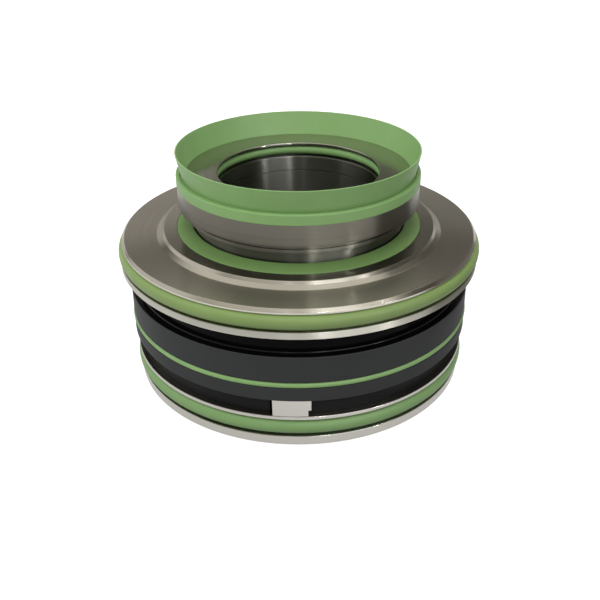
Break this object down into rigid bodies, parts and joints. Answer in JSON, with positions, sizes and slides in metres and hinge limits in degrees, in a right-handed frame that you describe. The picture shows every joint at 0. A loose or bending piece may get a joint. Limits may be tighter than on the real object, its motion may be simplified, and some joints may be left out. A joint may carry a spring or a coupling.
{
  "type": "cartridge mechanical seal",
  "caption": "Plug-in cartridge shaft seal: a flanged body with O-ringed lands, spring-loaded seal faces inside, and a turning collar with a flared lip ring on top.",
  "frame": {"origin": "the middle of the bottom face of the carrier ring, on the shaft axis", "axes": "+Z along the shaft axis, from the motor end to the impeller end; -Y is the side that the picture shows in front"},
  "size_m": [0.137, 0.137, 0.0873],
  "materials": {
    "flange_steel": "satin",
    "carrier_steel": "satin",
    "collar_steel": "satin",
    "sleeve_steel": "polished",
    "hard_ring": "polished",
    "black_housing": "satin",
    "green_rubber": "matte",
    "fastener_steel": "satin",
    "spring_steel": "satin"
  },
  "bodies": {
    "root": {"flange": "flange_steel", "flange_oring": "green_rubber", "wiper_ring": "green_rubber", "upper_housing": "black_housing", "flange_screws": "fastener_steel", "mid_oring": "green_rubber", "lower_housing": "black_housing", "housing_screws": "fastener_steel", "carrier_ring": "carrier_steel", "carrier_oring": "green_rubber", "upper_locating_pins": "fastener_steel", "lower_locating_pins": "fastener_steel", "upper_springs": "spring_steel", "lower_springs": "spring_steel"},
    "rotor": {"v_ring": "green_rubber", "drive_collar": "collar_steel", "collar_oring": "green_rubber", "upper_rotating_ring": "hard_ring", "upper_rotating_oring": "green_rubber", "upper_drive_pins": "fastener_steel", "shaft_sleeve": "sleeve_steel", "sleeve_oring": "green_rubber", "lower_rotating_ring": "hard_ring", "lower_rotating_oring": "green_rubber", "lower_drive_pins": "fastener_steel"},
    "upper_floater": {"upper_stationary_ring": "hard_ring", "upper_stationary_oring": "green_rubber", "upper_spring_plate": "fastener_steel"},
    "lower_floater": {"lower_stationary_ring": "hard_ring", "lower_stationary_oring": "green_rubber", "lower_spring_plate": "fastener_steel"}
  },
  "joints": [
    {"name": "rotor_spin", "type": "hinge", "parent": "root", "child": "rotor", "pos_m": [0, 0, 0], "axis": [0, 0, 1], "continuous": true},
    {"name": "upper_face_float", "type": "slide", "parent": "root", "child": "upper_floater", "axis": [0, 0, -1], "range_m": [0, 0.0015], "stiffness_N_per_m": 5000, "springref_m": -0.002, "deforming": ["upper_springs"]},
    {"name": "lower_face_float", "type": "slide", "parent": "root", "child": "lower_floater", "axis": [0, 0, 1], "range_m": [0, 0.0015], "stiffness_N_per_m": 5000, "springref_m": -0.002, "deforming": ["lower_springs"]}
  ]
}
